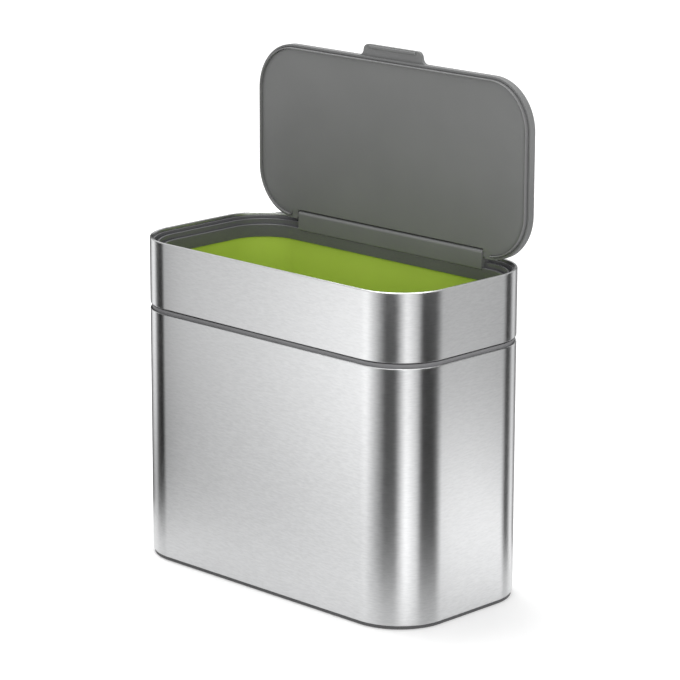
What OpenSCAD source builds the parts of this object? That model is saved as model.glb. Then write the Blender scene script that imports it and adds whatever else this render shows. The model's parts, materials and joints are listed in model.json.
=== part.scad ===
// Countertop food-waste bin: a brushed steel body with a lift-off top section, an inner
// bucket, and a flip lid that stands open on a rear hinge. Millimetres, front towards -Y,
// origin on the worktop under the middle of the body.
//
// Most pieces follow the rounded rectangle of the body. Their cross-sections are drawn with
// X as the distance inward from that outline and Y as the height above the worktop.

/* [Body] */
// Width of the steel body
body_w = 240; // [225:1:260]
// Depth of the steel body
body_d = 121.4; // [112:0.1:135]
// Corner radius of the steel body
body_r = 34.8; // [32:0.1:38]
// Height of the lower steel shell
lower_h = 159.8; // [130:0.1:190]
// Height of the upper steel band
band_h = 42.6; // [41:0.1:60]
// Height of the grey reveal between the shell and the band
reveal_h = 3.4; // [3:0.1:4.5]

/* [Steel sheet] */
// Thickness of the steel sheet
sheet_t = 0.6; // [0.5:0.05:0.7]
// Thickness of a folded hem
hem_t = 1.3; // [1.2:0.05:1.35]
// Height of a folded hem
hem_h = 3; // [2.5:0.1:3]
// Rounding of a hem's edge
hem_edge = 0.35; // [0.2:0.05:0.4]
// Width of the flange turned in under the lower shell
flange_w = 7; // [5:0.5:10]

/* [Base] */
// Height that the pads stand proud of the base tray
pad_proud = 0.5; // [0.3:0.1:1]
// Height of the base rim that shows under the steel
tray_rim_h = 2; // [2:0.1:4]
// Inset of the base rim from the steel's face
tray_inset = 0.8; // [0.5:0.1:2]
// Radius of an anti-slip pad
pad_r = 6; // [4:0.5:8]
// Depth of a pad's recess in the tray
pad_recess = 1.1; // [0.8:0.1:1.3]
// Inset of the pad centres from the body's sides
pad_inset = 24; // [20:1:30]
// Thickness of the inner floor
floor_t = 2; // [1.5:0.1:3]
// Thickness of the wall round the inner floor
floor_wall_t = 1.5; // [1:0.1:2.5]
// Height of the wall round the inner floor
floor_wall_h = 13; // [8:1:20]
// Height of the screw bosses that the bucket rests on
boss_h = 4.5; // [3:0.1:8]
// Radius of a screw boss
boss_r = 3.4; // [3:0.1:5]
// Material above the screw's hole in a boss
boss_cap = 1; // [0.8:0.1:1.5]

/* [Screws] */
// Radius of the screws' shanks
screw_r = 1.4; // [1:0.1:1.6]
// Radius of the base screws' heads
screw_head_r = 2.6; // [2.2:0.1:2.8]
// Radius of the housing screws' heads
housing_head_r = 2.2; // [2:0.05:2.35]
// Thickness of the screws' heads
screw_head_t = 1.1; // [0.8:0.1:1.2]
// Radius of the socket in a screw's head
socket_r = 1.1; // [0.8:0.1:1.3]
// Depth of the socket in a screw's head
socket_depth = 0.6; // [0.4:0.1:0.7]
// Depth that the base screws' heads sink into the tray
head_sink = 0.2; // [0.1:0.1:0.3]
// Gap past the end of a screw in its hole
screw_end_gap = 0.4; // [0.2:0.1:0.6]
// Distance from the end base screws to the body's ends
base_screw_inset_x = 42; // [36:1:50]
// Distance from the base screws to the body's front and back
base_screw_inset_y = 29.7; // [24:0.1:36]
// Distance from the end housing screws to the housing's ends
housing_screw_inset = 18; // [14:1:26]
// Length of a housing screw's hole in the housing
housing_screw_l = 7; // [5:0.5:7.5]

/* [Trim ring] */
// Inset of the upper strip of the reveal
reveal_inset = 0.7; // [0.4:0.1:0.9]
// Inset of the lower strip of the reveal
reveal_groove = 1.1; // [1:0.05:1.2]
// Height of the lower strip of the reveal
reveal_groove_h = 1.3; // [0.8:0.1:1.6]
// Depth of the ring inside the lower shell
ring_skirt_h = 12; // [8:0.5:20]
// Wall of the ring inside the lower shell
ring_skirt_t = 2; // [1.5:0.1:2.5]
// Height of the upstand that centres the top section
upstand_h = 6.8; // [4:0.1:12]
// Wall of the upstand
upstand_t = 1.9; // [1.5:0.1:2.2]
// Chamfer that leads the top section over the upstand
upstand_chamfer = 0.5; // [0.2:0.1:0.8]
// Height of the taper between the upstand and the ring's skirt
ring_taper_h = 3; // [2:0.5:5]

/* [Inner bucket] */
// Wall of the bucket
bucket_t = 1.6; // [1.2:0.1:1.8]
// Inward slope of the bucket's wall over its height
bucket_draft = 3.5; // [1:0.1:6]
// Height of the sloped edge round the bucket's floor
bucket_chamfer = 5; // [3:0.5:8]
// Width of the bucket's rim outside its wall
bucket_lip_w = 2; // [1:0.1:2.2]
// Thickness of the bucket's rim
bucket_lip_t = 1.8; // [1.2:0.1:2.5]
// Gap between the bucket's rim and the collar above it
bucket_rim_gap = 2.1; // [1.8:0.1:4]

/* [Collar] */
// Wall of the collar
collar_t = 1.4; // [1:0.1:1.5]
// Depth of the inner wall's lower edge below the steel rim
throat_depth = 15.2; // [14:0.1:20]
// Depth of the collar's outer wall below the steel rim
collar_outer_h = 24; // [18:0.5:30]
// Depth of the collar's top edge below the steel rim
collar_lip_drop = 2.1; // [1.8:0.1:2.4]
// Width of the collar's top edge
collar_lip_w = 1.6; // [1.2:0.1:1.8]
// Depth of the outer groove below the steel rim
outer_groove_drop = 5.5; // [4.5:0.1:6]
// Inset of the seal ridge
ridge_inset = 5; // [4.5:0.1:5.2]
// Width of the seal ridge
ridge_w = 1.3; // [1:0.1:1.6]
// Depth of the seal ridge below the steel rim
ridge_drop = 3.5; // [3.4:0.1:4]
// Depth of the inner groove below the steel rim
inner_groove_drop = 8; // [7:0.1:8.2]
// Depth of the ledge bead below the steel rim
ledge_drop = 6.7; // [6.6:0.1:7]
// Thickness of the collar under its grooves
collar_floor_t = 1.3; // [1:0.1:2]
// Rounding of the collar's edges
collar_edge = 0.3; // [0.1:0.1:0.5]
// Wall of the locating skirt
skirt_t = 1.5; // [1:0.1:1.6]
// Height of the taper at the top of the locating skirt
skirt_taper_h = 1.5; // [1:0.1:3]
// Depth of the locating skirt's foot below the steel band
skirt_foot = 0.2; // [0.1:0.05:0.3]

/* [Lid] */
// Gap between the closed lid and the steel's face at its ends
lid_gap_x = 3.65; // [3.4:0.05:4]
// Gap between the closed lid and the steel's face at its front and back
lid_gap_y = 4.1; // [3.8:0.05:4.3]
// Difference between the corner radii of the body and the lid
lid_gap_r = 3.3; // [2.5:0.1:4.1]
// Thickness of the lid's outer shell
lid_h = 4.8; // [4.6:0.1:5.4]
// Depth that the closed lid's edge sinks below the steel rim
lid_sink = 1.2; // [1.1:0.1:1.3]
// Thickness of the shell's top
lid_top_t = 1.6; // [1.4:0.1:2]
// Thickness of the shell's edge wall
lid_wall_t = 1.2; // [1:0.1:1.4]
// Rounding of the shell's outer edge
lid_edge = 1.3; // [0.8:0.1:1.8]
// Inset of the inner panel from the lid's edge
panel_inset = 2.9; // [2.8:0.1:3.5]
// Depth that the inner panel stands proud of the lid's edge
panel_proud = 0.65; // [0.5:0.05:0.9]
// Thickness of the inner panel's face
panel_t = 1.6; // [1.2:0.1:2.4]
// Thickness of the inner panel's walls
panel_wall_t = 1.4; // [1:0.1:2]
// Width of the slope round the inner panel's face
panel_slope_w = 3.8; // [2:0.1:5]
// Height of the slope round the inner panel's face
panel_slope_h = 0.4; // [0.2:0.05:0.45]
// Inset of the gasket from the lid's edge
gasket_inset = 1.9; // [1.8:0.1:2]
// Width of the gasket
gasket_w = 0.8; // [0.7:0.05:0.85]
// Chamfer of the gasket's sealing edge
gasket_edge = 0.3; // [0.2:0.05:0.3]
// Angle at which the lid stands open
lid_open = 90; // [80:1:90]

/* [Lift tab] */
// Width of the lift tab at its root
tab_w = 51; // [40:1:60]
// Narrowing of each side of the lift tab from its root to its tip
tab_taper = 1.5; // [0:0.5:4]
// Reach of the lift tab past the lid's edge
tab_reach = 7.3; // [6.8:0.1:9]
// Thickness of the lift tab
tab_t = 2.6; // [2:0.1:2.8]
// Corner radius of the lift tab
tab_r = 3; // [2:0.1:4]
// Distance from the ends of the grip bead to the sides of the lift tab
bead_margin = 4; // [2:0.5:8]
// Distance from the grip bead to the tab's tip
bead_setback = 0.4; // [0.2:0.1:1]
// Depth of the grip bead along the reach
bead_d = 2; // [1.4:0.1:2.2]
// Height of the grip bead
bead_h = 0.9; // [0.6:0.1:1]

/* [Hinge] */
// Distance of the hinge axis inward from the closed lid's back edge
axis_inset = 1.85; // [1.8:0.05:2]
// Height of the hinge axis above the closed lid's lower edge
axis_rise = 2.25; // [2.2:0.05:2.35]
// Length of the hinge housing
housing_l = 159; // [140:0.1:164]
// Distance of the housing's face in front of the hinge axis
housing_front = 3.35; // [2.75:0.05:3.4]
// Distance of the housing's back behind the hinge axis
housing_back = 4; // [3.5:0.1:4.2]
// Height of the housing's top above the hinge axis
housing_top = 3.95; // [3.5:0.05:3.95]
// Rounding of the housing's front top edge
housing_round = 2.6; // [2.5:0.1:2.7]
// Chamfer of the housing's other edges
housing_chamfer = 0.8; // [0.5:0.1:1.2]
// Radius of a hinge pin
pin_r = 1; // [0.8:0.05:1]
// Length of a hinge pin in the housing
pin_in_housing = 12; // [8:1:14]
// Length of a hinge pin in the lid
pin_in_lid = 4.6; // [3:0.1:5]
// Wall past the end of a pin in the lid
pin_end_wall = 1.2; // [0.8:0.1:2]
// Wall in front of a pin in the lid
pin_wall = 1.6; // [1.2:0.05:1.65]
// Gap past each end of a hinge pin
pin_end_gap = 0.2; // [0.1:0.1:0.4]
// Radius of a friction washer
washer_r = 2.1; // [1.6:0.1:2.3]
// Thickness of a friction washer
washer_t = 0.5; // [0.3:0.05:0.6]
// Side clearance between a friction washer and the lid
washer_gap = 0.2; // [0.1:0.05:0.3]
// Gap between the housing's top and the lid's hinge notch
notch_gap = 0.5; // [0.45:0.05:0.6]
// Wall of the lid along its hinge notch
notch_wall_t = 1.2; // [1:0.1:1.5]

/* [Clearances] */
// Gap between the bodies that lift apart
lift_gap = 0.3; // [0.25:0.05:0.4]
// Gap between the lid and what it turns past
turn_gap = 0.3; // [0.25:0.05:0.35]
// Radial clearance of a running pin
pin_clear = 0.05; // [0.03:0.01:0.08]
// Gap round pieces that are fixed together
fix_gap = 0.1; // [0.05:0.01:0.15]

/* [Hidden] */
$fn = 96;
// Overshoot of cuts past a surface
over = 1;
// Overlap of shapes that are joined
lap = 0.1;
// Share of a radius by which the middle of a rounded edge lies in from each face
arc_mid = 1 - sqrt(0.5);

// Heights above the worktop
steel_z = pad_proud + tray_rim_h;
lower_top = steel_z + lower_h;
band_z = lower_top + reveal_h;
rim_z = band_z + band_h;
deck_z = steel_z + sheet_t;
floor_z = deck_z + floor_t;
boss_z = floor_z + boss_h;
shoulder_z = band_z - skirt_foot - lift_gap;
upstand_z = shoulder_z + upstand_h;
skirt_z = shoulder_z + lift_gap;
throat_z = rim_z - throat_depth;
groove_z = rim_z - inner_groove_drop;
collar_under_z = groove_z - collar_floor_t;
collar_base_z = rim_z - collar_outer_h;
bucket_z = boss_z + lift_gap;
bucket_top = collar_under_z - bucket_rim_gap;

// Insets from the steel's face
inside = sheet_t + fix_gap;
hem_inside = hem_t + fix_gap;
skirt_inner = hem_inside + skirt_t;
upstand_outer = skirt_inner + lift_gap;
upstand_inner = upstand_outer + upstand_t;
bucket_outer = upstand_inner + lift_gap;
bucket_inner = bucket_outer + bucket_t;
throat_outer = bucket_inner + lift_gap;
throat_inset = throat_outer + collar_t;

// Lid in its closed place
lid_w = body_w - 2 * lid_gap_x;
lid_d = body_d - 2 * lid_gap_y;
lid_r = body_r - lid_gap_r;
lid_z = rim_z - lid_sink;
lid_top = lid_z + lid_h;
lid_under = lid_top - lid_top_t;
panel_z = lid_z - panel_proud;
gasket_z = rim_z - ridge_drop + turn_gap;

// Hinge
axis_y = lid_d / 2 - axis_inset;
axis_z = lid_z + axis_rise;
housing_half = housing_l / 2;
housing_face = axis_y - housing_front;
notch_half = housing_half + washer_t + washer_gap;
notch_y = axis_y - housing_top - notch_gap;
panel_notch_half = notch_half + notch_wall_t + fix_gap;
panel_notch_y = notch_y - notch_wall_t - fix_gap;
pin_end = notch_half + pin_in_lid;
boss_end = pin_end + pin_end_wall;
boss_front = axis_y - pin_r - pin_wall;
housing_screw_y = body_d / 2 - (throat_outer + inside + collar_t) / 2;

// Flat rounded rectangle, centred
module outline(w, d, r) {
    square([w, d - 2 * r], center = true);
    square([w - 2 * r, d], center = true);
    for (sx = [-1, 1], sy = [-1, 1])
        translate([sx * (w / 2 - r), sy * (d / 2 - r)]) circle(r);
}

// Plate on a rounded rectangle, drawn in by an inset, between two heights
module plate(w, d, r, inset, z0, z1) {
    translate([0, 0, z0])
        linear_extrude(z1 - z0) outline(w - 2 * inset, d - 2 * inset, r - inset);
}

// Ring round a rounded rectangle: its section has X inward from the outline and Y upward
module ring(w, d, r) {
    for (i = [0:3]) {
        hx = (i % 2 == 0 ? w : d) / 2 - r;
        hy = (i % 2 == 0 ? d : w) / 2 - r;
        rotate([0, 0, 90 * i]) translate([hx, hy, 0]) {
            rotate_extrude(angle = 90) translate([r, 0]) mirror([1, 0]) children();
            rotate([90, 0, 0]) linear_extrude(2 * hy)
                translate([r, 0]) mirror([1, 0]) children();
        }
    }
}

module body_ring() { ring(body_w, body_d, body_r) children(); }
module lid_ring() { ring(lid_w, lid_d, lid_r) children(); }
module body_plate(inset, z0, z1) { plate(body_w, body_d, body_r, inset, z0, z1); }
module lid_plate(inset, z0, z1) { plate(lid_w, lid_d, lid_r, inset, z0, z1); }

// Turns what is drawn on the closed lid to its open place
module on_lid() {
    translate([0, axis_y, axis_z]) rotate([-lid_open, 0, 0])
        translate([0, -axis_y, -axis_z]) children();
}

// Rod along X between two places on the hinge axis
module axis_rod(x0, x1, r) {
    translate([x0, axis_y, axis_z]) rotate([0, 90, 0]) cylinder(h = x1 - x0, r = r);
}

// Box cut out of the lid's back edge, from below everything that hangs under the lid
module notch(half, front) {
    low = min(panel_z, gasket_z) - over;
    translate([-half, front, low]) cube([2 * half, lid_d, lid_top - low + over]);
}

module at_base_screws() {
    for (i = [-1:1], sy = [-1, 1])
        translate([i * (body_w / 2 - base_screw_inset_x), sy * (body_d / 2 - base_screw_inset_y), 0])
            children();
}

module at_housing_screws() {
    reach = housing_half - housing_screw_inset;
    for (x = [-reach:2 * reach / 3:reach + lap])
        translate([x, housing_screw_y, 0]) children();
}

module at_pads() {
    for (sx = [-1, 1], sy = [-1, 1])
        translate([sx * (body_w / 2 - pad_inset), sy * (body_d / 2 - pad_inset), 0])
            children();
}

// Screw that points up, with the underside of its head's seat at the given height
module screw(seat_z, length, head_r) {
    difference() {
        union() {
            translate([0, 0, seat_z - screw_head_t]) cylinder(h = screw_head_t, r = head_r);
            translate([0, 0, seat_z - lap]) cylinder(h = length + lap, r = screw_r);
        }
        translate([0, 0, seat_z - screw_head_t - over])
            cylinder(h = socket_depth + over, r = socket_r);
    }
}

// Hem folded inward at the top of a steel wall
module top_hem(top) {
    polygon([[0, top - hem_h], [0, top - hem_edge], [hem_edge, top],
        [hem_t - hem_edge, top], [hem_t, top - hem_edge], [hem_t, top - hem_h]]);
}

module lower_shell() {
    color("silver") body_ring() {
        union() {
            translate([0, steel_z]) square([sheet_t, lower_h - hem_h / 2]);
            translate([0, steel_z]) square([flange_w, sheet_t]);
            top_hem(lower_top);
        }
    }
}

module upper_band() {
    color("silver") body_ring() {
        union() {
            translate([0, band_z + hem_h / 2]) square([sheet_t, band_h - hem_h]);
            top_hem(rim_z);
            translate([0, 2 * band_z + hem_h]) mirror([0, 1]) top_hem(band_z + hem_h);
        }
    }
}

module base_tray() {
    color("dimgray") difference() {
        union() {
            body_plate(tray_inset, pad_proud, steel_z);
            body_plate(flange_w + 2 * fix_gap, steel_z - lap, deck_z);
        }
        at_pads() translate([0, 0, pad_proud - over])
            cylinder(h = pad_recess + over, r = pad_r + fix_gap);
        at_base_screws() {
            translate([0, 0, pad_proud - over])
                cylinder(h = head_sink + screw_head_t + over, r = screw_head_r + 2 * fix_gap);
            cylinder(h = deck_z + over, r = screw_r + fix_gap);
        }
    }
}

module base_insert() {
    color("dimgray") difference() {
        union() {
            body_plate(inside, deck_z, floor_z);
            body_ring() translate([inside, deck_z]) square([floor_wall_t, floor_wall_h]);
            at_base_screws() translate([0, 0, deck_z]) cylinder(h = boss_z - deck_z, r = boss_r);
        }
        at_base_screws() translate([0, 0, deck_z - over])
            cylinder(h = boss_z - boss_cap - deck_z + over, r = screw_r + fix_gap / 2);
    }
}

module base_screws() {
    seat = pad_proud + head_sink + screw_head_t;
    color("gray") at_base_screws()
        screw(seat, boss_z - boss_cap - screw_end_gap - seat, screw_head_r);
}

module anti_slip_pads() {
    color("black") at_pads() cylinder(h = pad_proud + pad_recess, r = pad_r);
}

module trim_ring() {
    color("gray") body_ring() polygon([
        [hem_inside, lower_top - ring_skirt_h], [hem_inside, lower_top],
        [reveal_groove, lower_top], [reveal_groove, lower_top + reveal_groove_h],
        [reveal_inset, lower_top + reveal_groove_h], [reveal_inset, shoulder_z],
        [upstand_outer, shoulder_z], [upstand_outer, upstand_z - upstand_chamfer],
        [upstand_outer + upstand_chamfer, upstand_z], [upstand_inner, upstand_z],
        [upstand_inner, lower_top], [hem_inside + ring_skirt_t, lower_top - ring_taper_h],
        [hem_inside + ring_skirt_t, lower_top - ring_skirt_h]]);
}

module inner_bucket() {
    foot = bucket_draft + bucket_chamfer;
    corner = (sqrt(2) - 1) * bucket_t;
    lip_z = bucket_top - bucket_lip_t;
    color("yellowgreen") union() {
        body_ring() polygon([
            [bucket_outer + foot, bucket_z], [bucket_outer + bucket_draft, bucket_z + bucket_chamfer],
            [bucket_outer, lip_z], [bucket_outer - bucket_lip_w, lip_z],
            [bucket_outer - bucket_lip_w, bucket_top], [bucket_inner, bucket_top],
            [bucket_inner + bucket_draft, bucket_z + bucket_chamfer + corner],
            [bucket_outer + foot + corner, bucket_z + bucket_t],
            [bucket_inner + foot + over, bucket_z + bucket_t], [bucket_inner + foot + over, bucket_z]]);
        body_plate(bucket_inner + foot, bucket_z, bucket_z + bucket_t);
    }
}

module collar_section() {
    lip_z = rim_z - collar_lip_drop;
    ridge_z = rim_z - ridge_drop;
    ledge_z = rim_z - ledge_drop;
    lip_end = hem_inside + collar_lip_w;
    ridge_end = ridge_inset + ridge_w;
    polygon([
        [inside, collar_base_z], [inside, rim_z - hem_h - fix_gap],
        [hem_inside, rim_z - hem_h - fix_gap], [hem_inside, lip_z],
        [lip_end - collar_edge, lip_z], [lip_end, lip_z - collar_edge],
        [lip_end, rim_z - outer_groove_drop], [ridge_inset, rim_z - outer_groove_drop],
        [ridge_inset, ridge_z - collar_edge], [ridge_inset + collar_edge, ridge_z],
        [ridge_end - collar_edge, ridge_z], [ridge_end, ridge_z - collar_edge],
        [ridge_end, groove_z], [throat_outer, groove_z], [throat_outer, ledge_z - collar_edge],
        [throat_outer + collar_edge, ledge_z], [throat_inset - collar_edge, ledge_z],
        [throat_inset, ledge_z - collar_edge], [throat_inset, throat_z],
        [throat_outer, throat_z], [throat_outer, collar_under_z],
        [inside + collar_t, collar_under_z], [inside + collar_t, collar_base_z]]);
}

module rim_collar() {
    pocket = housing_half + fix_gap;
    color("dimgray") difference() {
        body_ring() collar_section();
        translate([-pocket, housing_face - over, groove_z])
            cube([2 * pocket, body_d / 2 - hem_inside - housing_face + over, rim_z - groove_z]);
        at_housing_screws() translate([0, 0, collar_under_z - over])
            cylinder(h = collar_floor_t + 2 * over, r = screw_r + fix_gap);
    }
}

module locating_skirt() {
    color("gray") body_ring() polygon([
        [hem_inside, skirt_z], [hem_inside, band_z + hem_h + fix_gap],
        [inside, band_z + hem_h + fix_gap], [inside, collar_base_z],
        [inside + collar_t, collar_base_z], [skirt_inner, collar_base_z - skirt_taper_h],
        [skirt_inner, skirt_z]]);
}

// Section of the hinge housing across its length: X towards the back, Y up, from the axis
module housing_section() {
    low = groove_z - axis_z;
    face = -housing_front;
    union() {
        polygon([[face, low + housing_chamfer], [face + housing_chamfer, low],
            [housing_back, low], [housing_back, housing_top - housing_chamfer],
            [housing_back - housing_chamfer, housing_top], [face + housing_round, housing_top],
            [face + housing_round, housing_top - housing_round], [face, housing_top - housing_round]]);
        translate([face + housing_round, housing_top - housing_round]) circle(housing_round);
    }
}

module hinge_housing() {
    color("dimgray") difference() {
        translate([-housing_half, axis_y, axis_z]) rotate([90, 0, 90])
            linear_extrude(housing_l) housing_section();
        for (s = [-1, 1])
            axis_rod(s * housing_half - pin_in_housing, s * housing_half + pin_in_housing,
                pin_r + fix_gap / 2);
        at_housing_screws() translate([0, 0, groove_z - over])
            cylinder(h = housing_screw_l + over, r = screw_r + fix_gap / 2);
    }
}

module housing_screws() {
    color("gray") at_housing_screws()
        screw(collar_under_z, collar_floor_t + housing_screw_l - screw_end_gap, housing_head_r);
}

module hinge_pins() {
    color("silver") for (s = [0, 1]) mirror([s, 0, 0])
        axis_rod(housing_half - pin_in_housing + pin_end_gap, pin_end - pin_end_gap, pin_r);
}

module friction_washers() {
    color("silver") for (s = [0, 1]) mirror([s, 0, 0]) difference() {
        axis_rod(housing_half, housing_half + washer_t, washer_r);
        axis_rod(housing_half - over, housing_half + washer_t + over, pin_r + fix_gap / 2);
    }
}

// Lift tab on the closed lid, with the grip bead under its tip
module lift_tab() {
    front = -lid_d / 2;
    root = front + lid_edge + over;
    tip = front - tab_reach;
    half = tab_w / 2;
    tip_half = half - tab_taper;
    under = lid_top - tab_t;
    bead_half = tip_half - bead_margin;
    translate([0, 0, under]) linear_extrude(tab_t) union() {
        polygon([[-half, root], [-half, front], [-tip_half, tip + tab_r],
            [tip_half, tip + tab_r], [half, front], [half, root]]);
        translate([tab_r - tip_half, tip]) square([2 * (tip_half - tab_r), 2 * tab_r]);
        for (sx = [-1, 1]) translate([sx * (tip_half - tab_r), tip + tab_r]) circle(tab_r);
    }
    translate([-bead_half, tip + bead_setback, under - bead_h])
        cube([2 * bead_half, bead_d, bead_h + lap]);
}

// Outer shell of the closed lid with its lift tab, open underneath
module lid_skin() {
    difference() {
        union() {
            lid_plate(0, lid_z, lid_top - lid_edge);
            lid_plate(lid_edge + lap, lid_z, lid_top);
            lid_ring() polygon([[0, lid_z], [0, lid_top - lid_edge],
                [arc_mid * lid_edge, lid_top - arc_mid * lid_edge], [lid_edge, lid_top],
                [lid_edge + over, lid_top], [lid_edge + over, lid_z]]);
            lift_tab();
        }
        lid_plate(lid_wall_t, lid_z - over, lid_under);
    }
}

// Walls in the closed lid round its hinge notch, and the bosses that the pins run in
module hinge_walls() {
    wall_half = notch_half + notch_wall_t;
    intersection() {
        lid_plate(0, lid_z, lid_under + lap);
        union() {
            translate([-wall_half, notch_y - notch_wall_t, lid_z])
                cube([2 * wall_half, boss_front - notch_y + 2 * notch_wall_t, lid_h]);
            for (s = [0, 1]) mirror([s, 0, 0]) translate([notch_half - over, boss_front, lid_z])
                cube([boss_end - notch_half + over, lid_d, lid_h]);
        }
    }
}

module lid_shell() {
    color("dimgray") on_lid() difference() {
        union() {
            lid_skin();
            hinge_walls();
        }
        notch(notch_half, notch_y);
        for (s = [0, 1]) mirror([s, 0, 0]) axis_rod(notch_half - over, pin_end, pin_r + pin_clear);
    }
}

module lid_inner_panel() {
    face_inset = panel_inset + panel_slope_w;
    // Half length and front of the cuts that take the hinge housing and the pin bosses
    cuts = [[panel_notch_half, panel_notch_y], [boss_end + fix_gap, boss_front - fix_gap]];
    color("gray") on_lid() difference() {
        union() {
            lid_plate(face_inset, panel_z, lid_under);
            lid_ring() polygon([[panel_inset, panel_z + panel_slope_h], [face_inset, panel_z],
                [face_inset + over, panel_z], [face_inset + over, lid_under], [panel_inset, lid_under]]);
        }
        difference() {
            lid_plate(panel_inset + panel_wall_t, panel_z + panel_t, lid_under + over);
            for (cut = cuts) notch(cut[0] + panel_wall_t, cut[1] - panel_wall_t);
        }
        for (cut = cuts) notch(cut[0], cut[1]);
    }
}

module lid_gasket() {
    gasket_far = gasket_inset + gasket_w;
    ends = boss_end + fix_gap;
    color("black") on_lid() difference() {
        lid_ring() polygon([[gasket_inset, lid_under], [gasket_inset, gasket_z + gasket_edge],
            [gasket_inset + gasket_edge, gasket_z], [gasket_far - gasket_edge, gasket_z],
            [gasket_far, gasket_z + gasket_edge], [gasket_far, lid_under]]);
        notch(ends, 0);
    }
}

lower_shell();
base_tray();
base_insert();
base_screws();
anti_slip_pads();
trim_ring();
inner_bucket();
upper_band();
rim_collar();
locating_skirt();
hinge_housing();
housing_screws();
hinge_pins();
friction_washers();
lid_shell();
lid_inner_panel();
lid_gasket();
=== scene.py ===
import json
from math import cos, pi, radians, sin

import bmesh
import bpy
from mathutils import Matrix, Vector


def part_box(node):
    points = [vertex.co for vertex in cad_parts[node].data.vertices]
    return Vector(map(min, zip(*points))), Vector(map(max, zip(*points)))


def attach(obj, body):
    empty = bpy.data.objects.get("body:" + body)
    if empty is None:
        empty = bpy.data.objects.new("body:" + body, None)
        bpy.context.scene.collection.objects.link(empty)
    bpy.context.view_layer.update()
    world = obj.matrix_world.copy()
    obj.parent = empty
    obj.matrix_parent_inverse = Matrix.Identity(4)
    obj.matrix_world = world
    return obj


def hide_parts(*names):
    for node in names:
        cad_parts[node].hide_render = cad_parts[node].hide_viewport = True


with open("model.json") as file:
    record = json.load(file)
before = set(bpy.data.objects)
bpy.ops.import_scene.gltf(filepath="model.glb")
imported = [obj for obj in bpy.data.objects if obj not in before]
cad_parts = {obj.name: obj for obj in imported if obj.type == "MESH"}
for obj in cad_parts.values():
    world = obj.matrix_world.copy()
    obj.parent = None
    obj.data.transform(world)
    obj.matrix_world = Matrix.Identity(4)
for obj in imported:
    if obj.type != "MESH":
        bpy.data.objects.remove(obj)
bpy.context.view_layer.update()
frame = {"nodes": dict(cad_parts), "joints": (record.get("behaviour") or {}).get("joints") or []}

mm = 0.001
near = 0.01 * mm  # closer than this counts as the same place
weld = 0.002 * mm  # vertices closer than this become one
arc = {"least": 3, "most": 36, "perMm": 4}  # facets of a rounded corner, by its radius
print("frame loaded,", len(frame["nodes"]), "nodes")

# places that the pieces share, from the frame
shellLow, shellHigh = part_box("lower_shell")
bandLow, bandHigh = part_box("upper_band")
body = {
    "width": shellHigh.x - shellLow.x,
    "depth": shellHigh.y - shellLow.y,
    "corner": 34.8 * mm,
    "foot": shellLow.z,
    "shellTop": shellHigh.z,
    "bandFoot": bandLow.z,
    "rim": bandHigh.z,
    "cornerSteps": 36,  # facets of a quarter turn
}
hinge = next(joint for joint in frame["joints"] if joint["name"] == "lid_hinge")
hingeAt = Vector(hinge["pos_m"])
housingLow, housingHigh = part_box("hinge_housing")


# shaping

def vertsOf(geom):
    return [g for g in geom if isinstance(g, bmesh.types.BMVert)]


def edgesOf(geom):
    return [g for g in geom if isinstance(g, bmesh.types.BMEdge)]


def drawFace(bm, points, place):
    # points are (across, up, rounding), and place turns the first two into a point in the frame; the mesh is
    # empty before, so the face drawn is its only one, also when a rounding has made it anew
    verts = [bm.verts.new(place(across, up)) for across, up, _ in points]
    bm.faces.new(verts)
    for vert, (_, _, rounding) in zip(verts, points):
        if rounding:
            steps = max(arc["least"], min(arc["most"], round(rounding / mm * arc["perMm"])))
            bmesh.ops.bevel(bm, geom=[vert], offset=rounding, offset_type="OFFSET", segments=steps,
                            profile=0.5, affect="VERTICES", material=-1)
    return bm.faces[:][0]


def extrudeFace(bm, face, shift):
    made = bmesh.ops.extrude_face_region(bm, geom=[face])["geom"]
    bmesh.ops.translate(bm, verts=vertsOf(made), vec=shift)
    return next(g for g in made if isinstance(g, bmesh.types.BMFace))


def sweep(bm, edges, spot, heading, moves, radius):
    # carries the edges along straight runs and quarter turns; radius is the path's own
    for kind, amount in moves:
        along = Vector((cos(heading), sin(heading), 0))
        inward = Vector((-sin(heading), cos(heading), 0))
        if kind == "run":
            made = bmesh.ops.extrude_edge_only(bm, edges=edges)["geom"]
            moved = set(vertsOf(made))
            bmesh.ops.translate(bm, verts=list(moved), vec=along * amount)
            edges = [e for e in edgesOf(made) if all(v in moved for v in e.verts)]
            spot = spot + along * amount
        else:
            centre = spot + inward * radius
            made = bmesh.ops.spin(bm, geom=edges, cent=centre, axis=(0, 0, 1), dvec=(0, 0, 0),
                                  angle=amount, steps=max(2, round(body["cornerSteps"] * amount / (pi / 2))),
                                  use_merge=False, use_normal_flip=False, use_duplicate=False)
            edges = edgesOf(made["geom_last"])
            spot = centre + Matrix.Rotation(amount, 3, "Z") @ (spot - centre)
            heading += amount
    return edges


def tidyShell(bm):
    bmesh.ops.remove_doubles(bm, verts=bm.verts[:], dist=weld)
    bmesh.ops.recalc_face_normals(bm, faces=bm.faces[:])


def ringMoves(width, depth, radius):
    moves = []
    for side in (width, depth, width, depth):
        moves += [("run", side - 2 * radius), ("turn", pi / 2)]
    return moves


def bodyRing(section):
    # a section of (inset, height, rounding) carried round the body's outline
    bm = bmesh.new()
    width, depth, radius = body["width"], body["depth"], body["corner"]
    start = Vector((radius - width / 2, -depth / 2, 0))
    face = drawFace(bm, section, lambda inset, up: start + Vector((0, inset, up)))
    edges = list(face.edges)
    bmesh.ops.delete(bm, geom=[face], context="FACES_ONLY")
    sweep(bm, edges, start, 0, ringMoves(width, depth, radius), radius)
    tidyShell(bm)
    return bm


def edgesAt(bm, height):
    # edges that lie in the level plane at a height
    return [e for e in bm.edges if all(abs(v.co.z - height) < weld / 2 for v in e.verts)]


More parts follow.
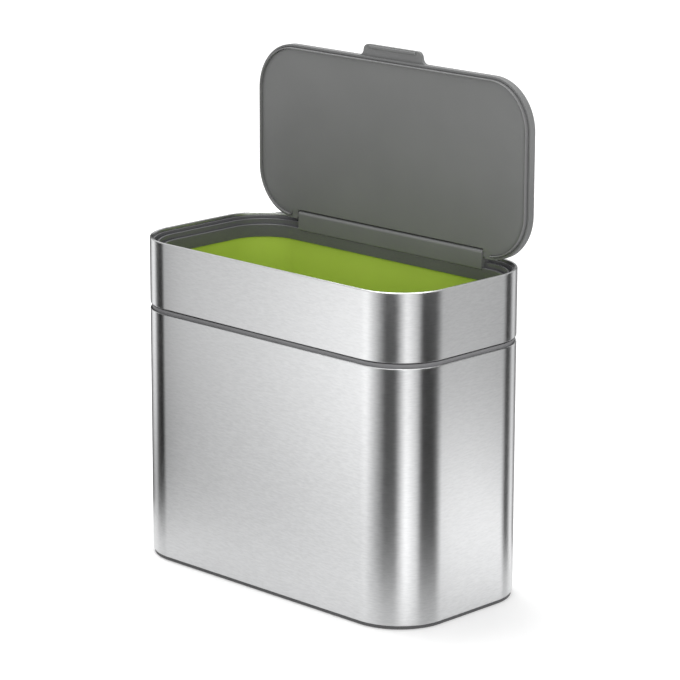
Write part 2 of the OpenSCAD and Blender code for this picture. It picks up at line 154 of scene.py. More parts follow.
def bevelEdges(bm, edges, offset, steps):
    bmesh.ops.bevel(bm, geom=edges, offset=offset, offset_type="OFFSET", segments=steps,
                    profile=0.5, affect="EDGES", clamp_overlap=True, material=-1)


def openLid(bm):
    # the lid is drawn closed, then swung to where it stands open
    turn = Matrix.Rotation(radians(-90), 4, "X")
    bmesh.ops.transform(bm, verts=bm.verts[:],
                        matrix=Matrix.Translation(hingeAt) @ turn @ Matrix.Translation(-hingeAt))


def makePiece(name, bm, rideOn, nodes, material, sharpAngle=40):
    mesh = bpy.data.meshes.new(name)
    bm.to_mesh(mesh)
    bm.free()
    piece = bpy.data.objects.new(name, mesh)
    bpy.context.scene.collection.objects.link(piece)
    mesh.shade_smooth()
    mesh.set_sharp_from_angle(angle=radians(sharpAngle))
    weighted = piece.modifiers.new("even shading", "WEIGHTED_NORMAL")
    weighted.keep_sharp = True
    depsgraph = bpy.context.evaluated_depsgraph_get()
    piece.data = bpy.data.meshes.new_from_object(piece.evaluated_get(depsgraph))
    piece.data.name = name
    piece.modifiers.clear()
    piece.data.materials.clear()
    piece.data.materials.append(material)
    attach(piece, rideOn)
    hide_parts(*nodes)
    print("made", name, len(piece.data.polygons), "faces")
    return piece


# finishes

def newMaterial(name):
    material = bpy.data.materials.new(name)
    material.use_nodes = True
    nodes = material.node_tree.nodes
    return material, nodes, material.node_tree.links, nodes["Principled BSDF"]


def stretchedNoise(nodes, links, stretch, scale, detail, rough=0.55):
    # noise on the piece's own coordinates, stretched by the scale of each axis
    coord = nodes.new("ShaderNodeTexCoord")
    mapping = nodes.new("ShaderNodeMapping")
    mapping.inputs["Scale"].default_value = stretch
    noise = nodes.new("ShaderNodeTexNoise")
    noise.inputs["Scale"].default_value = scale
    noise.inputs["Detail"].default_value = detail
    noise.inputs["Roughness"].default_value = rough
    links.new(coord.outputs["Object"], mapping.inputs["Vector"])
    links.new(mapping.outputs["Vector"], noise.inputs["Vector"])
    return noise.outputs["Fac"]


def remapped(nodes, links, source, start, low, high):
    # turns the span that start gives into low to high, and holds it outside
    remap = nodes.new("ShaderNodeMapRange")
    for socket, value in zip(("From Min", "From Max", "To Min", "To Max"), (*start, low, high)):
        remap.inputs[socket].default_value = value
    links.new(source, remap.inputs["Value"])
    return remap.outputs["Result"]


def combined(nodes, links, operation, first, second):
    result = nodes.new("ShaderNodeMath")
    result.operation = operation
    links.new(first, result.inputs[0])
    links.new(second, result.inputs[1])
    return result.outputs[0]


noiseSpan = (0.25, 0.75)  # where nearly all of a noise lies
tintSpan = (0.3, 0.7)  # the part of a noise that goes from the dark tone to the light one


def spread(nodes, links, source, low, high):
    return remapped(nodes, links, source, noiseSpan, low, high)


def tint(nodes, links, source, dark, light):
    ramp = nodes.new("ShaderNodeValToRGB")
    for stop, position, tone in zip(ramp.color_ramp.elements, tintSpan, (dark, light)):
        stop.position, stop.color = position, (*tone, 1)
    links.new(source, ramp.inputs["Fac"])
    return ramp.outputs["Color"]


def addBump(nodes, links, shader, source, strength, distance):
    bump = nodes.new("ShaderNodeBump")
    bump.inputs["Strength"].default_value = strength
    bump.inputs["Distance"].default_value = distance
    links.new(source, bump.inputs["Height"])
    links.new(bump.outputs["Normal"], shader.inputs["Normal"])


steelLook = {
    "dark": (0.58, 0.585, 0.59),
    "light": (0.68, 0.685, 0.69),
    "roughness": (0.28, 0.36),
    "anisotropy": 0.95,
    "grainStretch": (220, 220, 1100),  # strokes round the body, fine across them
    "grainDetail": 3,
    "grainRough": 0.6,
    "grainBump": 0.05,
    "grainDeep": 0.02 * mm,
    "turn": 0.25,  # a quarter turn, so that the strokes run round the body
}


def brushedSteel():
    material, nodes, links, shader = newMaterial("brushedSteel")
    grain = stretchedNoise(nodes, links, steelLook["grainStretch"], 1, steelLook["grainDetail"],
                           steelLook["grainRough"])
    links.new(tint(nodes, links, grain, steelLook["dark"], steelLook["light"]), shader.inputs["Base Color"])
    links.new(spread(nodes, links, grain, *steelLook["roughness"]), shader.inputs["Roughness"])
    shader.inputs["Metallic"].default_value = 1
    shader.inputs["Anisotropic"].default_value = steelLook["anisotropy"]
    shader.inputs["Anisotropic Rotation"].default_value = steelLook["turn"]
    addBump(nodes, links, shader, grain, steelLook["grainBump"], steelLook["grainDeep"])
    return material


plasticLook = {"cloudDetail": 3, "sparkDetail": 2, "sparkDeep": 0.05 * mm}


def mouldedPlastic(name, dark, light, roughness, grain=2600, bump=0.12, cloudy=18):
    # fine spark texture with a slow, faint change of tone
    material, nodes, links, shader = newMaterial(name)
    cloud = stretchedNoise(nodes, links, (1, 1, 1), cloudy, plasticLook["cloudDetail"])
    spark = stretchedNoise(nodes, links, (1, 1, 1), grain, plasticLook["sparkDetail"])
    links.new(tint(nodes, links, cloud, dark, light), shader.inputs["Base Color"])
    links.new(spread(nodes, links, spark, *roughness), shader.inputs["Roughness"])
    addBump(nodes, links, shader, spark, bump, plasticLook["sparkDeep"])
    return material


metalLook = {"wear": 400, "wearDetail": 3}


def brightMetal(name, dark, light, roughness):
    material, nodes, links, shader = newMaterial(name)
    wear = stretchedNoise(nodes, links, (1, 1, 1), metalLook["wear"], metalLook["wearDetail"])
    links.new(tint(nodes, links, wear, dark, light), shader.inputs["Base Color"])
    links.new(spread(nodes, links, wear, *roughness), shader.inputs["Roughness"])
    shader.inputs["Metallic"].default_value = 1
    return material


steel = brushedSteel()
bodyPlastic = mouldedPlastic("bodyPlastic", (0.125, 0.125, 0.13), (0.14, 0.14, 0.145), (0.42, 0.55))
lidPlastic = mouldedPlastic("lidPlastic", (0.135, 0.137, 0.137), (0.15, 0.152, 0.152), (0.42, 0.55))
collarPlastic = mouldedPlastic("collarPlastic", (0.105, 0.105, 0.112), (0.12, 0.12, 0.127), (0.25, 0.34),
                               bump=0.05)
footPlastic = mouldedPlastic("footPlastic", (0.06, 0.06, 0.062), (0.07, 0.07, 0.072), (0.45, 0.6))
trimPlastic = mouldedPlastic("trimPlastic", (0.14, 0.14, 0.145), (0.16, 0.16, 0.165), (0.4, 0.5))
greenPlastic = mouldedPlastic("greenPlastic", (0.47, 0.63, 0.08), (0.5, 0.66, 0.09), (0.38, 0.5), 1500, 0.06)
sealRubber = mouldedPlastic("sealRubber", (0.15, 0.15, 0.152), (0.17, 0.17, 0.172), (0.5, 0.65), 3000, 0.1)
padRubber = mouldedPlastic("padRubber", (0.025, 0.025, 0.025), (0.035, 0.035, 0.035), (0.7, 0.85), 2200, 0.3)
brightSteel = brightMetal("brightSteel", (0.56, 0.56, 0.57), (0.64, 0.64, 0.65), (0.2, 0.32))
print("finishes ready")


# steel shell and band

sheet = {"thick": 0.6 * mm, "hemThick": 1.3 * mm, "hemDeep": 3 * mm, "hemRound": 0.63 * mm, "flange": 7 * mm,
         "rimThick": 1.9 * mm, "rimDeep": 1.9 * mm, "rimRound": 0.9 * mm, "cutRound": 0.1 * mm,
         "bendIn": 0.3 * mm, "bendOut": 0.8 * mm}


def hemCorners(top, down):
    # the two round corners of a folded edge; down is 1 for a top hem and -1 for a bottom one
    thick, hem, deep = sheet["thick"], sheet["hemThick"], sheet["hemDeep"] * down
    return [(0, top, sheet["hemRound"]), (hem, top, sheet["hemRound"]),
            (hem, top - deep, sheet["cutRound"]), (thick, top - deep, 0)]


def lowerShell():
    foot, thick, flange, cut = body["foot"], sheet["thick"], sheet["flange"], sheet["cutRound"]
    section = hemCorners(body["shellTop"], 1) + [
        (thick, foot + thick, sheet["bendIn"]), (flange, foot + thick, cut), (flange, foot, cut),
        (0, foot, sheet["bendOut"])]
    return makePiece("steel_lower_shell", bodyRing(section), "body", ["lower_shell"], steel)


def upperBand():
    rim, thick, roll, soft = body["rim"], sheet["thick"], sheet["rimThick"], sheet["rimRound"]
    section = [(0, rim, soft), (roll, rim, soft), (roll, rim - sheet["rimDeep"], sheet["cutRound"]),
               (thick, rim - sheet["rimDeep"], 0)] + hemCorners(body["bandFoot"], -1)[::-1]
    return makePiece("steel_upper_band", bodyRing(section), "top_section", ["upper_band"],
                     steel)


lowerShell()
upperBand()

# grey ring that shows between the two steel pieces
trim = {"strip": 0.75 * mm, "groove": 1.35 * mm, "grooveHigh": 1.1 * mm, "gap": 0.7 * mm, "inner": 1.4 * mm,
        "skirtDeep": 12 * mm, "skirtThick": 2 * mm, "upstandFrom": 3.2 * mm, "upstandTo": 5.1 * mm,
        "upstandHigh": 6.8 * mm, "upstandRound": (0.6 * mm, 0.4 * mm), "shoulderRound": 0.2 * mm,
        "stripRound": 0.25 * mm, "round": 0.3 * mm, "bendDown": 3 * mm}


def trimRing():
    top, shoulder = body["shellTop"], body["bandFoot"] - trim["gap"]
    foot, ledge, high = top - trim["skirtDeep"], top + trim["grooveHigh"], shoulder + trim["upstandHigh"]
    inner, strip, soft, fine = trim["inner"], trim["strip"], trim["round"], trim["stripRound"]
    skirt, (roundOut, roundIn) = inner + trim["skirtThick"], trim["upstandRound"]
    section = [
        (inner, foot, soft), (inner, top, 0), (trim["groove"], top, 0), (trim["groove"], ledge, 0),
        (strip, ledge, fine), (strip, shoulder, fine), (trim["upstandFrom"], shoulder, trim["shoulderRound"]),
        (trim["upstandFrom"], high, roundOut), (trim["upstandTo"], high, roundIn),
        (trim["upstandTo"], top, soft), (skirt, top - trim["bendDown"], soft), (skirt, foot, soft)]
    return makePiece("seam_trim_ring", bodyRing(section), "body", ["trim_ring"], trimPlastic)


trimRing()

# dark collar inside the rim
collar = {
    "inside": 0.7 * mm, "outerWall": 2.1 * mm, "hemInside": 1.4 * mm, "lipEnd": 3 * mm,
    "ridge": (5 * mm, 6.3 * mm), "throat": (7.3 * mm, 8.7 * mm),
    "baseDown": 24 * mm, "hemDown": 3.1 * mm, "lipDown": 2.1 * mm, "grooveDown": 5.5 * mm,
    "ridgeDown": 3.5 * mm, "innerDown": 8 * mm, "ledgeDown": 6.7 * mm, "underDown": 9.3 * mm,
    "throatDown": 15.2 * mm, "round": 0.35 * mm, "throatRound": 0.5 * mm, "footRound": 0.3 * mm,
    "underRound": 0.6 * mm,
    "pocketHalf": housingHigh.x + 0.1 * mm,  # half length of the gap in its steps for the housing
}


def collarSection(withSteps):
    rim, soft = body["rim"], collar["round"]
    base, under = rim - collar["baseDown"], rim - collar["underDown"]
    low, ledge = rim - collar["innerDown"], rim - collar["ledgeDown"]
    foot, (throatOut, throatIn) = rim - collar["throatDown"], collar["throat"]
    hem, lip, groove = rim - collar["hemDown"], rim - collar["lipDown"], rim - collar["grooveDown"]
    inside, outer, ridge = collar["inside"], collar["outerWall"], rim - collar["ridgeDown"]
    (ridgeOut, ridgeIn), bend = collar["ridge"], collar["throatRound"]
    steps = [
        (inside, hem, 0), (collar["hemInside"], hem, 0), (collar["hemInside"], lip, soft),
        (collar["lipEnd"], lip, soft), (collar["lipEnd"], groove, soft), (ridgeOut, groove, soft),
        (ridgeOut, ridge, soft), (ridgeIn, ridge, soft), (ridgeIn, low, soft), (throatOut, low, soft / 2),
        (throatOut, ledge, soft), (throatIn, ledge, bend)]
    plain = [(inside, low, 0), (throatIn, low, soft)]
    return [(outer, base, 0), (inside, base, 0)] + (steps if withSteps else plain) + [
        (throatIn, foot, bend), (throatOut, foot, collar["footRound"]),
        (throatOut, under, collar["underRound"]), (outer, under, collar["underRound"])]


def rimCollar():
    bm = bmesh.new()
    width, depth, radius, half = body["width"], body["depth"], body["corner"], collar["pocketHalf"]
    start = Vector((-half, depth / 2, 0))

    def place(inset, up):
        return start + Vector((0, -inset, up))

    run = width / 2 - radius - half
    moves = [("run", run), ("turn", pi / 2), ("run", depth - 2 * radius), ("turn", pi / 2),
             ("run", width - 2 * radius), ("turn", pi / 2), ("run", depth - 2 * radius), ("turn", pi / 2),
             ("run", run)]
    first = drawFace(bm, collarSection(True), place)
    lastEdges = sweep(bm, list(first.edges), start, pi, moves, radius)
    bmesh.ops.contextual_create(bm, geom=lastEdges)
    tidyShell(bm)
    pocket = bmesh.new()
    face = drawFace(pocket, collarSection(False), place)
    extrudeFace(pocket, face, Vector((2 * half, 0, 0)))
    tidyShell(pocket)
    scrap = bpy.data.meshes.new("pocket")
    pocket.to_mesh(scrap)
    pocket.free()
    bm.from_mesh(scrap)
    bpy.data.meshes.remove(scrap)
    return makePiece("rim_collar_moulding", bm, "top_section", ["rim_collar"], collarPlastic)


rimCollar()

# green bucket
bucketLow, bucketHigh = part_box("inner_bucket")
bucket = {"outer": 5.4 * mm, "wall": 1.6 * mm, "draft": 3.5 * mm, "chamfer": 5 * mm, "lipWide": 2 * mm,
          "lipThick": 1.8 * mm, "bend": 3 * mm, "bendIn": 2.4 * mm, "lipRound": 0.7 * mm,
          "lipUnder": 0.4 * mm,
          "chamferShift": 0.7 * mm,  # keeps the wall's thickness along the chamfer
          "ringEnd": 6 * mm}  # from the chamfer to where the flat floor joins the ring


def innerBucket():
    low, high, wall, bend = bucketLow.z, bucketHigh.z, bucket["wall"], bucket["bend"]
    outer, foot = bucket["outer"], bucket["outer"] + bucket["draft"]
    lip, lipFoot, floorEdge = outer - bucket["lipWide"], high - bucket["lipThick"], foot + bucket["chamfer"]
    chamferTop, shift = low + bucket["chamfer"], bucket["chamferShift"]
    innermost = floorEdge + bucket["ringEnd"]
    section = [
        (floorEdge, low, bend), (foot, chamferTop, bend), (outer, lipFoot, 0),
        (lip, lipFoot, bucket["lipUnder"]), (lip, high, bucket["lipRound"]),
        (outer + wall, high, bucket["lipRound"]), (foot + wall, chamferTop + shift, bend),
        (floorEdge + shift, low + wall, bucket["bendIn"]), (innermost, low + wall, 0), (innermost, low, 0)]
    bm = bodyRing(section)
    reach = body["depth"] / 2 - innermost + near
    inner = [f for f in bm.faces if all(abs(v.co.z - low) < wall + near for v in f.verts)
             and abs(f.normal.z) < 0.5 and max(abs(v.co.y) for v in f.verts) < reach]
    bmesh.ops.delete(bm, geom=inner, context="FACES")
    loose = [e for e in bm.edges if e.is_boundary]
    for height in (low, low + wall):
        bmesh.ops.contextual_create(bm, geom=[e for e in loose if abs(e.verts[0].co.z - height) < near])
    tidyShell(bm)
    return makePiece("green_bucket", bm, "bucket", ["inner_bucket"], greenPlastic)


innerBucket()

# bar along the back of the rim that the lid hinges on
housing = {"topRound": 2.4 * mm, "topDown": 0.4 * mm, "edge": 0.8 * mm, "footRound": 0.3 * mm,
           "endRound": 0.3 * mm, "endSteps": 3}


def hingeHousing():
    bm = bmesh.new()
    front, back, low, high = housingLow.y, housingHigh.y, housingLow.z, housingHigh.z - housing["topDown"]
    face = drawFace(bm, [(front, low, housing["edge"]), (back, low, housing["footRound"]),
                         (back, high, housing["edge"]), (front, high, housing["topRound"])],
                    lambda across, up: Vector((housingLow.x, across, up)))
    extrudeFace(bm, face, Vector((housingHigh.x - housingLow.x, 0, 0)))
    tidyShell(bm)
    ends = [e for e in bm.edges if abs(e.verts[0].co.x - e.verts[1].co.x) < near]
    bevelEdges(bm, ends, housing["endRound"], housing["endSteps"])
    tidyShell(bm)
    return makePiece("hinge_housing_bar", bm, "top_section", ["hinge_housing"], lidPlastic)


hingeHousing()

# lid, drawn closed: its width and depth follow the body, and its top is at the closed height
lid = {
    "gapX": 3.65 * mm, "gapY": 4.1 * mm, "corner": 31.5 * mm, "edgeDown": 1.2 * mm, "thick": 4.8 * mm,
    "wall": 1.2 * mm, "edgeRound": 1.3 * mm, "edgeSteps": 5, "lowRound": 0.35 * mm, "lowSteps": 2,
    "tabRoot": 25.5 * mm, "tabTip": 24 * mm, "tabReach": 7.3 * mm, "tabThick": 2.6 * mm,
    "tabCorner": 3 * mm, "tabFillet": 3 * mm,
    "notchHalf": housingHigh.x + 0.7 * mm,
    "notchFront": hingeAt.y + hingeAt.z - housingHigh.z - 0.5 * mm,
    "notchRound": 0.3 * mm, "bossLong": 5.8 * mm, "bossFront": hingeAt.y - 2.6 * mm,
    "bossIn": 0.05 * mm, "bossSide": 0.1 * mm, "bossBack": 0.4 * mm,  # how far a boss keeps inside the shell
    "bossSink": 0.2 * mm,
}
lid["x"] = body["width"] / 2 - lid["gapX"]
lid["y"] = body["depth"] / 2 - lid["gapY"]
lid["z"] = body["rim"] - lid["edgeDown"]
lid["top"] = lid["z"] + lid["thick"]
lid["under"] = lid["top"] - lid["tabThick"]
bead = {"half": 20 * mm, "deep": 2 * mm, "high": 0.9 * mm, "setback": 0.4 * mm, "sink": 0.9 * mm,
        "round": 0.6 * mm, "steps": 4}


def addBlock(bm, low, high, rounding=0, steps=0):
    cube = bmesh.ops.create_cube(bm, size=1)["verts"]
    centre = [(a + b) / 2 for a, b in zip(low, high)]
    size = [b - a for a, b in zip(low, high)]
    bmesh.ops.scale(bm, vec=size, verts=cube)
    bmesh.ops.translate(bm, vec=centre, verts=cube)
    if rounding:
        edges = {e for v in cube for e in v.link_edges}
        bevelEdges(bm, list(edges), rounding, steps)


def cutBlock(bm, low, high):
    # takes a block out of the mesh
    block = bmesh.new()
    addBlock(block, low, high)
    parts = []
    for name, source in (("whole", bm), ("block", block)):
        mesh = bpy.data.meshes.new(name)
        source.to_mesh(mesh)
        part = bpy.data.objects.new(name, mesh)
        bpy.context.scene.collection.objects.link(part)
        parts.append(part)
    cut = parts[0].modifiers.new("cut", "BOOLEAN")
    cut.object, cut.operation, cut.solver = parts[1], "DIFFERENCE", "EXACT"
    result = bpy.data.meshes.new_from_object(parts[0].evaluated_get(bpy.context.evaluated_depsgraph_get()))
    bm.clear()
    bm.from_mesh(result)
    scraps = [result] + [part.data for part in parts]
    for part in parts:
        bpy.data.objects.remove(part)
    for scrap in scraps:
        bpy.data.meshes.remove(scrap)
    block.free()


def lidShell():
    bm = bmesh.new()
    x, y, top, low, under = lid["x"], lid["y"], lid["top"], lid["z"], lid["under"]
    tip = -y - lid["tabReach"]
    outline = [
        (lid["notchHalf"], y, lid["notchRound"]), (lid["notchHalf"], lid["notchFront"], lid["notchRound"]),
        (-lid["notchHalf"], lid["notchFront"], lid["notchRound"]), (-lid["notchHalf"], y, lid["notchRound"]),
        (-x, y, lid["corner"]), (-x, -y, lid["corner"]),
        (-lid["tabRoot"], -y, lid["tabFillet"]), (-lid["tabTip"], tip, lid["tabCorner"]),
        (lid["tabTip"], tip, lid["tabCorner"]), (lid["tabRoot"], -y, lid["tabFillet"]),
        (x, -y, lid["corner"]), (x, y, lid["corner"])]
    face = drawFace(bm, outline, lambda across, up: Vector((across, up, top)))
    lower = extrudeFace(bm, face, Vector((0, 0, under - top)))
    rootX = lid["tabRoot"] + lid["tabFillet"]
    roots = [min(lower.verts, key=lambda v: (v.co - Vector((side * rootX, -y, under))).length)
             for side in (-1, 1)]
    bmesh.utils.face_split(lower, *roots)
    main = max((f for f in bm.faces if all(abs(v.co.z - under) < near for v in f.verts)),
               key=lambda f: f.calc_area())
    bmesh.ops.recalc_face_normals(bm, faces=bm.faces[:])
    border = bmesh.ops.inset_region(bm, faces=[main], thickness=lid["wall"], use_even_offset=True)["faces"]
    walls = bmesh.ops.extrude_face_region(bm, geom=border)["geom"]
    bmesh.ops.translate(bm, verts=vertsOf(walls), vec=(0, 0, low - under))
    tidyShell(bm)
    upper = [e for e in edgesAt(bm, top) if len(e.link_faces) == 2]
    bevelEdges(bm, upper, lid["edgeRound"], lid["edgeSteps"])
    bevelEdges(bm, edgesAt(bm, low), lid["lowRound"], lid["lowSteps"])
    tidyShell(bm)
    for side in (-1, 1):
        ends = sorted(side * (lid["notchHalf"] + lid[end]) for end in ("bossSide", "bossLong"))
        addBlock(bm, (ends[0], lid["bossFront"], low + lid["bossIn"]),
                 (ends[1], y - lid["bossBack"], under + lid["bossSink"]))
    addBlock(bm, (-bead["half"], tip + bead["setback"], under - bead["high"]),
             (bead["half"], tip + bead["setback"] + bead["deep"], under + bead["sink"]),
             bead["round"], bead["steps"])
    openLid(bm)
    return makePiece("lid_outer_shell", bm, "lid", ["lid_shell"], lidPlastic)


lidShell()

panel = {"inset": 2.9 * mm, "edgeProud": 0.25 * mm, "proud": 0.65 * mm, "slopeWide": 3.8 * mm,
         "edgeRound": 0.25 * mm, "edgeSteps": 2, "bossGap": 0.1 * mm,
         "notchLap": 0.05 * mm,  # how far the panel stands into the notch, so that it hides the notch's wall
         "cutReach": 20 * mm}


def lidPanel():
    bm = bmesh.new()
    x, y, corner = lid["x"] - panel["inset"], lid["y"] - panel["inset"], lid["corner"] - panel["inset"]
    edge, back, reach = lid["z"] - panel["edgeProud"], lid["under"], panel["cutReach"]
    face = drawFace(bm, [(-x, y, corner), (-x, -y, corner), (x, -y, corner), (x, y, corner)],
                    lambda across, up: Vector((across, up, edge)))
    extrudeFace(bm, face, Vector((0, 0, back - edge)))
    tidyShell(bm)
    rim = edgesAt(bm, edge)
    flat = next(f for f in bm.faces if all(abs(v.co.z - edge) < near for v in f.verts))
    bmesh.ops.inset_region(bm, faces=[flat], thickness=panel["slopeWide"], use_even_offset=True)
    bmesh.ops.translate(bm, verts=flat.verts[:], vec=(0, 0, panel["edgeProud"] - panel["proud"]))
    bevelEdges(bm, rim, panel["edgeRound"], panel["edgeSteps"])
    notchX, notchY = lid["notchHalf"] - panel["notchLap"], lid["notchFront"] + panel["notchLap"]
    bossX = lid["notchHalf"] + lid["bossLong"] + panel["bossGap"]
    bossY = lid["bossFront"] - panel["bossGap"]
    cutBlock(bm, (-notchX, notchY, edge - reach), (notchX, lid["y"], edge + reach))
    cutBlock(bm, (-bossX, bossY, edge - reach), (bossX, lid["y"], edge + reach))
    openLid(bm)
    return makePiece("lid_panel_moulding", bm, "lid", ["lid_inner_panel"], lidPlastic)


lidPanel()

gasket = {"inset": 1.9 * mm, "wide": 0.8 * mm, "lip": 0.3 * mm, "footInset": 1.25 * mm, "footEnd": 2.85 * mm,
          "footDeep": 0.8 * mm, "footRound": 0.2 * mm, "endTurn": radians(4),
          "ridgeGap": 0.3 * mm}  # between its face and the collar's ridge, with the lid closed


def lidGasket():
    bm = bmesh.new()
    width, depth, radius = 2 * lid["x"], 2 * lid["y"], lid["corner"]
    start = Vector((radius - lid["x"], lid["y"], 0))
    top, foot = lid["under"], lid["z"] + gasket["footDeep"]
    tip = body["rim"] - collar["ridgeDown"] + gasket["ridgeGap"]
    outer, inner, lip = gasket["inset"], gasket["inset"] + gasket["wide"], gasket["lip"]
    face = drawFace(bm, [(gasket["footInset"], top, 0), (gasket["footInset"], foot, 0),
                         (outer, foot, gasket["footRound"]), (outer, tip, lip), (inner, tip, lip),
                         (inner, foot, 0), (gasket["footEnd"], foot, 0), (gasket["footEnd"], top, 0)],
                    lambda inset, up: start + Vector((0, -inset, up)))
    centre = start - Vector((0, radius, 0))
    bmesh.ops.rotate(bm, cent=centre, matrix=Matrix.Rotation(gasket["endTurn"], 3, "Z"), verts=bm.verts[:])
    spot = centre + Matrix.Rotation(gasket["endTurn"], 3, "Z") @ (start - centre)
    short = pi / 2 - gasket["endTurn"]
    moves = [("turn", short), ("run", depth - 2 * radius), ("turn", pi / 2), ("run", width - 2 * radius),
             ("turn", pi / 2), ("run", depth - 2 * radius), ("turn", short)]
    lastEdges = sweep(bm, list(face.edges), spot, pi + gasket["endTurn"], moves, radius)
    bmesh.ops.contextual_create(bm, geom=lastEdges)
    tidyShell(bm)
    openLid(bm)
    return makePiece("lid_gasket_strip", bm, "lid", ["lid_gasket"], sealRubber)


lidGasket()

# carried-over nodes keep their shape and get their finish
nodeFinish = {
    "base_tray": footPlastic, "base_insert": bodyPlastic, "locating_skirt": bodyPlastic,
    "anti_slip_pads": padRubber, "base_screws": brightSteel, "housing_screws": brightSteel,
    "hinge_pins": brightSteel, "friction_washers": brightSteel,
}
for nodeName, finish in nodeFinish.items():
    node = frame["nodes"][nodeName]
    node.data.materials.clear()
    node.data.materials.append(finish)
print("nodes finished")


# studio

studio = {
    "floorHalf": 12, "floorTone": 0.76, "ambient": 0.76,
    "lift": (0.27, 0.6), "liftSpan": (0.35, 1.3),  # added light of the floor, near the bin and far from it; the lower level near the bin is painted shade round it, which the steel's reflections also show
}


def seenDirectly(nodes, links):
    # 1 for what the camera, a mirror or a clear piece sees
    rays = nodes.new("ShaderNodeLightPath").outputs
    either = combined(nodes, links, "MAXIMUM", rays["Is Camera Ray"], rays["Is Glossy Ray"])
    return combined(nodes, links, "MAXIMUM", either, rays["Is Transmission Ray"])


def stageMesh(name, bm, material):
    mesh = bpy.data.meshes.new(name)
    bm.to_mesh(mesh)
    bm.free()
    thing = bpy.data.objects.new(name, mesh)
    bpy.context.scene.collection.objects.link(thing)
    mesh.materials.append(material)
    return thing


def makeFloor():
    bm = bmesh.new()
    bmesh.ops.create_grid(bm, x_segments=1, y_segments=1, size=studio["floorHalf"])
    material, nodes, links, shader = newMaterial("floorWhite")
    tone = studio["floorTone"]
    shader.inputs["Base Color"].default_value = (tone, tone, tone, 1)
    shader.inputs["Roughness"].default_value = 1
    shader.inputs["Specular IOR Level"].default_value = 0
    glow = nodes.new("ShaderNodeEmission")
    coord = nodes.new("ShaderNodeTexCoord")
    away = nodes.new("ShaderNodeVectorMath")
    away.operation = "LENGTH"
    both = nodes.new("ShaderNodeAddShader")
    links.new(coord.outputs["Object"], away.inputs[0])
    # the floor glows less near the bin than far from it: painted shade round the bin, also seen in the
    # steel's reflections
    level = remapped(nodes, links, away.outputs["Value"], studio["liftSpan"], *studio["lift"])
    lift = combined(nodes, links, "MULTIPLY", seenDirectly(nodes, links), level)
    links.new(lift, glow.inputs["Strength"])
    links.new(shader.outputs[0], both.inputs[0])
    links.new(glow.outputs[0], both.inputs[1])
    links.new(both.outputs[0], nodes["Material Output"].inputs["Surface"])
    stageMesh("floor", bm, material)


lamps = {
    "top": {"at": (-0.5, 0.1, 1.6), "to": (0, 0, 0.15), "size": 0.9, "power": 16},
    "right": {"at": (0.8, -0.45, 0.3), "to": (0.1, 0.05, 0.28), "size": 0.3, "power": 4},
}


def makeLamps():
    for name, spot in lamps.items():
        data = bpy.data.lights.new(name + "Lamp", "AREA")
        data.size, data.energy = spot["size"], spot["power"]
        lamp = bpy.data.objects.new(name + "Lamp", data)
        bpy.context.scene.collection.objects.link(lamp)
        aim = Vector(spot["to"]) - Vector(spot["at"])
        lamp.location = spot["at"]
        lamp.rotation_euler = aim.to_track_quat("-Z", "Y").to_euler()
        lamp.visible_glossy = False


def makeWorld():
    world = bpy.data.worlds.new("studioWorld")
    bpy.context.scene.world = world
    world.use_nodes = True
    nodes, links = world.node_tree.nodes, world.node_tree.links
    mix = nodes.new("ShaderNodeMix")
    mix.inputs["A"].default_value = studio["ambient"]
    mix.inputs["B"].default_value = 1
    links.new(seenDirectly(nodes, links), mix.inputs["Factor"])
    links.new(mix.outputs["Result"], nodes["Background"].inputs["Strength"])
    nodes["Background"].inputs["Color"].default_value = (1, 1, 1, 1)


# a dark wall round the bin that only reflections show
cardWall = {
    "gap": 75 * mm, "high": 246 * mm, "strength": 1.5,
    "rowSpan": (30 * mm, 130 * mm),  # below it the low levels hold, above it the plain ones
    "shadeSpan": (226 * mm, 234 * mm), "shade": 0.06,  # a dark band along its top
    "rampTop": 2,  # the level that a full ramp stands for
}
# six light cards on it, each between two bearings in degrees with soft edges beside them; low is the share of
# a card's light that it has close to the floor
cards = {
    "left": {"from": -167, "to": -160, "soft": (8, 4), "levels": (0.85, 0.85), "low": 0.5},
    "front": {"from": -142, "to": -70, "soft": (3, 22), "levels": (0.58, 1.1), "low": 0.7},
    "corner": {"from": -28, "to": -17, "soft": (10, 4), "levels": (0.95, 0.5), "low": 1.4},
    "right": {"from": 14, "to": 30, "soft": (11, 4), "levels": (0.47, 0.47), "low": 2.2},
    "side": {"from": 46, "to": 52, "soft": (5, 5), "levels": (0.65, 0.65), "low": 1.4},
    "back": {"from": 66, "to": 94, "soft": (9, 10), "levels": (0.5, 0.4), "low": 1},
}
topCard = {"half": 0.6, "at": (0.1, -0.1, 1.1), "strength": 4}


def cardObject(name, bm, material):
    card = stageMesh(name, bm, material)
    for kind in ("camera", "diffuse", "transmission", "volume_scatter", "shadow"):
        setattr(card, "visible_" + kind, False)


def makeTopCard():
    bm = bmesh.new()
    bmesh.ops.create_grid(bm, x_segments=1, y_segments=1, size=topCard["half"])
    bmesh.ops.translate(bm, verts=bm.verts[:], vec=topCard["at"])
    material, nodes, links, shader = newMaterial("topCardLight")
    glow = nodes.new("ShaderNodeEmission")
    glow.inputs["Strength"].default_value = topCard["strength"]
    links.new(glow.outputs[0], nodes["Material Output"].inputs["Surface"])
    nodes.remove(shader)
    cardObject("topCard", bm, material)


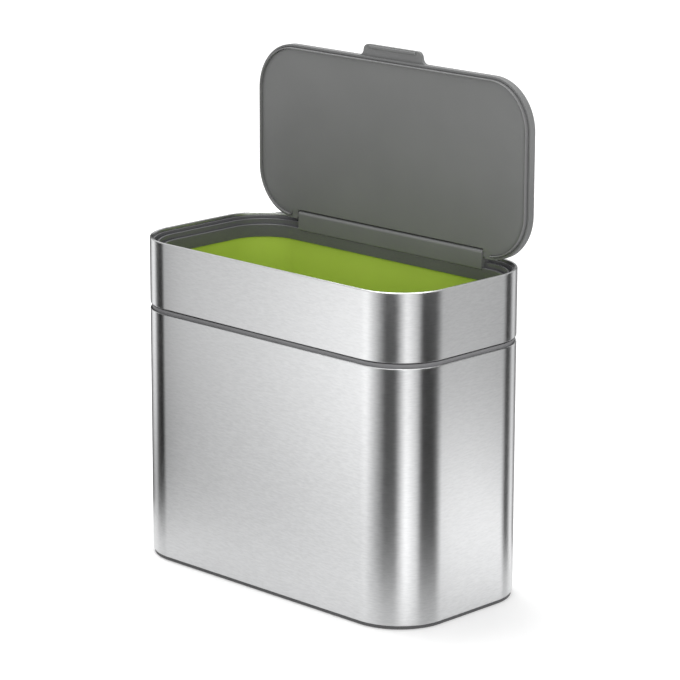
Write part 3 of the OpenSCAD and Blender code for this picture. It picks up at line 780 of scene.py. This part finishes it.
def makeCards():
    bm = bmesh.new()
    gap, full = cardWall["gap"], cardWall["strength"] * cardWall["rampTop"]
    width, depth, radius = body["width"] + 2 * gap, body["depth"] + 2 * gap, body["corner"] + gap
    start = Vector((radius - width / 2, -depth / 2, 0))
    ends = [bm.verts.new(start), bm.verts.new(start + Vector((0, 0, cardWall["high"])))]
    sweep(bm, [bm.edges.new(ends)], start, 0, ringMoves(width, depth, radius), radius)
    tidyShell(bm)
    material, nodes, links, shader = newMaterial("cardLight")
    coord = nodes.new("ShaderNodeTexCoord")
    around = nodes.new("ShaderNodeTexGradient")
    around.gradient_type = "RADIAL"
    levels = []
    for card in cards.values():
        (first, last), (fadeIn, fadeOut) = card["levels"], card["soft"]
        levels += [(card["from"] - fadeIn, 0, 0), (card["from"], first, first * card["low"]),
                   (card["to"], last, last * card["low"]), (card["to"] + fadeOut, 0, 0)]
    mix = nodes.new("ShaderNodeMix")
    for row, socket in ((1, "B"), (2, "A")):
        ramp = nodes.new("ShaderNodeValToRGB")
        stops = ramp.color_ramp.elements
        while len(stops) < len(levels):
            stops.new(0)
        for stop, spot in zip(stops, levels):
            stop.position = spot[0] / 360 + 0.5
            stop.color = [spot[row] / cardWall["rampTop"]] * 3 + [1]
        links.new(around.outputs["Fac"], ramp.inputs["Fac"])
        links.new(ramp.outputs["Color"], mix.inputs[socket])
    height = nodes.new("ShaderNodeSeparateXYZ")
    links.new(coord.outputs["Object"], around.inputs["Vector"])
    links.new(coord.outputs["Object"], height.inputs[0])
    rise = remapped(nodes, links, height.outputs["Z"], cardWall["rowSpan"], 0, 1)
    links.new(rise, mix.inputs["Factor"])
    shade = remapped(nodes, links, height.outputs["Z"], cardWall["shadeSpan"], full, full * cardWall["shade"])
    glow = nodes.new("ShaderNodeEmission")
    links.new(combined(nodes, links, "MULTIPLY", mix.outputs["Result"], shade), glow.inputs["Strength"])
    links.new(glow.outputs[0], nodes["Material Output"].inputs["Surface"])
    nodes.remove(shader)
    cardObject("lightCards", bm, material)


view = {"azimuth": 44.418, "elevation": 14.537, "roll": 0.157, "lens": 164.59, "sensor": 36,
        "place": (1.31621, -1.33412, 0.63671)}


def makeCamera():
    data = bpy.data.cameras.new("camera")
    data.lens, data.sensor_width = view["lens"], view["sensor"]
    camera = bpy.data.objects.new("camera", data)
    bpy.context.scene.collection.objects.link(camera)
    camera.rotation_mode = "QUATERNION"
    turn = (Matrix.Rotation(radians(view["azimuth"]), 3, "Z")
            @ Matrix.Rotation(radians(90 - view["elevation"]), 3, "X")
            @ Matrix.Rotation(radians(view["roll"]), 3, "Z"))
    camera.rotation_quaternion = turn.to_quaternion()
    camera.location = view["place"]
    bpy.context.scene.camera = camera


makeFloor()
makeWorld()
makeCards()
makeTopCard()
makeLamps()
makeCamera()
bpy.context.scene.view_settings.view_transform = "Standard"
print("studio ready")
